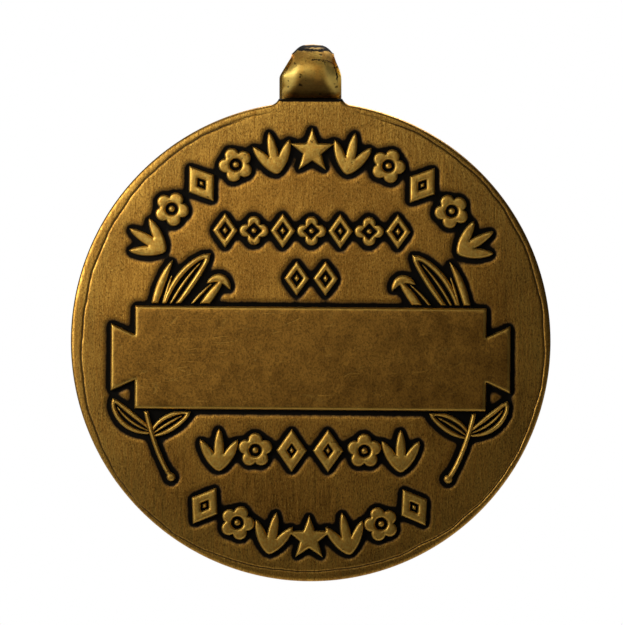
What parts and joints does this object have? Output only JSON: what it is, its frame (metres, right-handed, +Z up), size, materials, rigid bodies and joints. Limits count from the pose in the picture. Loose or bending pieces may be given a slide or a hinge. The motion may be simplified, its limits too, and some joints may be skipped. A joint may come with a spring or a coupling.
{
  "type": "service medal pendant",
  "caption": "Struck bronze medal pendant with a rolled suspension loop, a blank name panel framed by laurel sprigs and rows of plain ornament, and a star and wreath on its obverse.",
  "frame": {"origin": "centre of the suspension loop's bore", "axes": "+Z up from the disc to the loop, -Y out of the reverse that carries the name panel, +Y out of the obverse, +X along the bore to the right as the reverse is read"},
  "size_m": [0.035, 0.0038, 0.0391],
  "materials": {
    "field_bronze": "brushed and relieved antique bronze",
    "relief_bronze": "satin, with worn bright edges",
    "panel_bronze": "satin, finely scratched",
    "loop_bronze": "satin, with dark patina in its folds",
    "obverse_bronze": "satin, with worn bright edges"
  },
  "bodies": {
    "root": {"planchet": "field_bronze", "suspension_loop": "loop_bronze", "name_panel": "panel_bronze", "upper_arc_ornaments": "relief_bronze", "upper_row_ornaments": "relief_bronze", "centre_pair_ornaments": "relief_bronze", "lower_row_ornaments": "relief_bronze", "lower_arc_ornaments": "relief_bronze", "upper_left_outer_leaf": "relief_bronze", "upper_left_middle_leaf": "relief_bronze", "upper_left_folded_leaf": "relief_bronze", "upper_right_outer_leaf": "relief_bronze", "upper_right_middle_leaf": "relief_bronze", "upper_right_folded_leaf": "relief_bronze", "lower_left_stem": "relief_bronze", "lower_left_outer_leaf": "relief_bronze", "lower_left_inner_leaf": "relief_bronze", "lower_right_stem": "relief_bronze", "lower_right_outer_leaf": "relief_bronze", "lower_right_inner_leaf": "relief_bronze", "obverse_rim": "obverse_bronze", "obverse_beads": "obverse_bronze", "obverse_star": "obverse_bronze", "wreath_left_branch": "obverse_bronze", "wreath_left_leaves": "obverse_bronze", "wreath_right_branch": "obverse_bronze", "wreath_right_leaves": "obverse_bronze", "wreath_tie": "obverse_bronze"}
  },
  "joints": []
}
